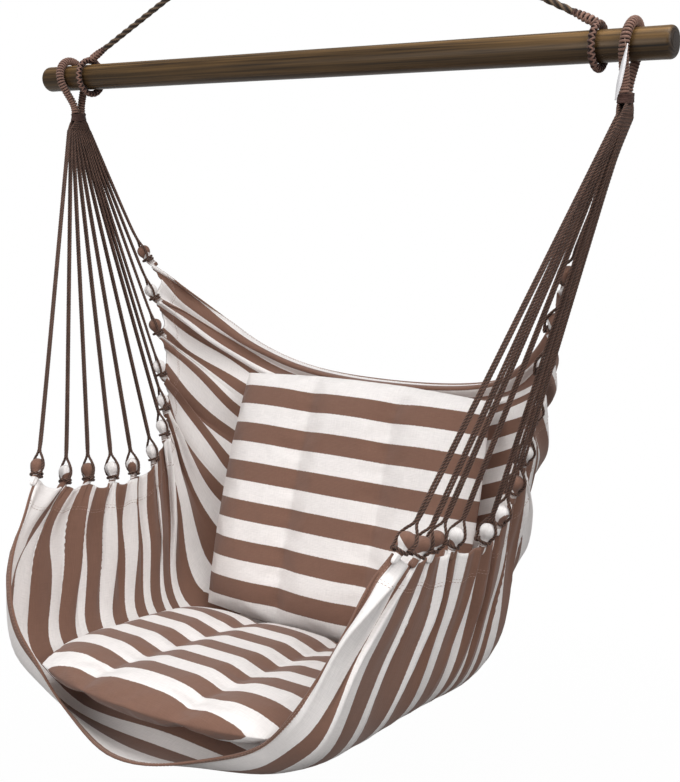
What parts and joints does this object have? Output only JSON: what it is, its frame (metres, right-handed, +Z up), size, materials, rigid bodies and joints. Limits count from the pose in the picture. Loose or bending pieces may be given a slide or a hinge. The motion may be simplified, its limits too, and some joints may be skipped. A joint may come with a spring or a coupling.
{
  "type": "hammock chair",
  "caption": "Hanging hammock chair: striped cloth seat tied by fans of doubled cords to a wooden spreader bar on a V rope, with a seat and a back cushion.",
  "frame": {"origin": "the point inside the rope eye that bears on a hook, straight above the middle of the spreader bar", "axes": "+Z up out of the eye, X along the spreader bar, -Y towards the open front of the seat"},
  "size_m": [1.012, 0.624, 1.1878],
  "materials": {
    "stained_wood": "satin stain",
    "rope": "twisted matte",
    "served_eye": "coarse cord serving",
    "whipping": "fine cord whipping",
    "twisted_cord": "twisted matte",
    "striped_canvas": "woven brown and white stripes",
    "striped_cover": "woven brown and white stripes, padded",
    "tag_ribbon": "blank satin ribbon"
  },
  "bodies": {
    "suspension": {"suspension_rope": "rope", "apex_whipping": "whipping", "left_sling_eye": "served_eye", "right_sling_eye": "served_eye"},
    "bar": {"spreader_bar": "stained_wood"},
    "hammock": {"left_fan_eye": "served_eye", "right_fan_eye": "served_eye", "left_neck_collar": "whipping", "right_neck_collar": "whipping", "left_cord_01": "twisted_cord", "left_cord_02": "twisted_cord", "left_cord_03": "twisted_cord", "left_cord_04": "twisted_cord", "left_cord_05": "twisted_cord", "left_cord_06": "twisted_cord", "left_cord_07": "twisted_cord", "left_cord_08": "twisted_cord", "left_cord_09": "twisted_cord", "left_cord_10": "twisted_cord", "left_cord_11": "twisted_cord", "left_cord_12": "twisted_cord", "right_cord_01": "twisted_cord", "right_cord_02": "twisted_cord", "right_cord_03": "twisted_cord", "right_cord_04": "twisted_cord", "right_cord_05": "twisted_cord", "right_cord_06": "twisted_cord", "right_cord_07": "twisted_cord", "right_cord_08": "twisted_cord", "right_cord_09": "twisted_cord", "right_cord_10": "twisted_cord", "right_cord_11": "twisted_cord", "right_cord_12": "twisted_cord", "hammock_sheet": "striped_canvas"},
    "seat_pad": {"seat_cushion": "striped_cover"},
    "back_pad": {"back_cushion": "striped_cover"},
    "tag": {"care_tag": "tag_ribbon"}
  },
  "joints": [
    {"name": "bar_turn", "type": "hinge", "parent": "suspension", "child": "bar", "pos_m": [0, 0, -0.296], "axis": [1, 0, 0], "continuous": true},
    {"name": "hammock_swing", "type": "hinge", "parent": "suspension", "child": "hammock", "pos_m": [0, 0, -0.296], "axis": [1, 0, 0], "range_deg": [-25, 25]},
    {"name": "seat_cushion_lift", "type": "slide", "parent": "hammock", "child": "seat_pad", "axis": [0, 0, 1], "range_m": [0, 0.2]},
    {"name": "back_cushion_lift", "type": "slide", "parent": "hammock", "child": "back_pad", "axis": [0, 0, 1], "range_m": [0, 0.2]},
    {"name": "tag_swing", "type": "hinge", "parent": "hammock", "child": "tag", "pos_m": [0.452, -0.033, -0.298], "axis": [-1, 0, 0], "range_deg": [0, 60]}
  ]
}
